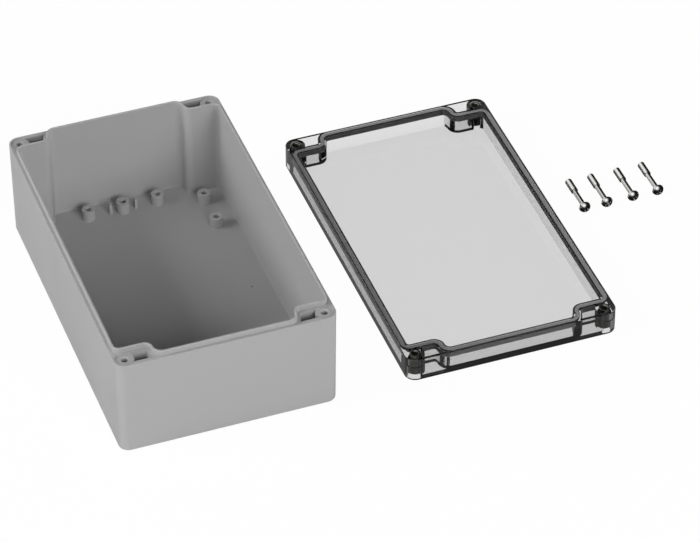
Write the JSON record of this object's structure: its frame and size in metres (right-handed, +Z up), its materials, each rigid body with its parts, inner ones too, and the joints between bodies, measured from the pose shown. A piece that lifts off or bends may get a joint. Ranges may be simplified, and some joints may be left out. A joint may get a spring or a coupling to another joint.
{
  "type": "polycarbonate enclosure",
  "caption": "Rectangular grey polycarbonate enclosure, opened: deep base with corner pockets and floor bosses, clear lid upside down with its seal and bushes, captive lid screws beside it.",
  "frame": {"origin": "centre of the base's underside", "axes": "+X to the right across the base, towards the lid and screws; +Y along the base to the back; +Z up, out of the open base"},
  "size_m": [0.3486, 0.2008, 0.0614],
  "materials": {
    "base_grey": "light grey moulded polycarbonate with a fine satin texture",
    "lid_clear": "clear polished polycarbonate",
    "seal_grey": "dark grey foamed seal with a soft skin",
    "bush_metal": "turned metal, dark in the lid's shade",
    "screw_steel": "polished stainless steel"
  },
  "bodies": {
    "root": {"enclosure_base": "base_grey", "clear_lid": "lid_clear", "lid_seal": "seal_grey", "retaining_bush_front_left": "bush_metal", "retaining_bush_front_right": "bush_metal", "retaining_bush_back_left": "bush_metal", "retaining_bush_back_right": "bush_metal", "lid_screw_1": "screw_steel", "lid_screw_2": "screw_steel", "lid_screw_3": "screw_steel", "lid_screw_4": "screw_steel"}
  },
  "joints": []
}
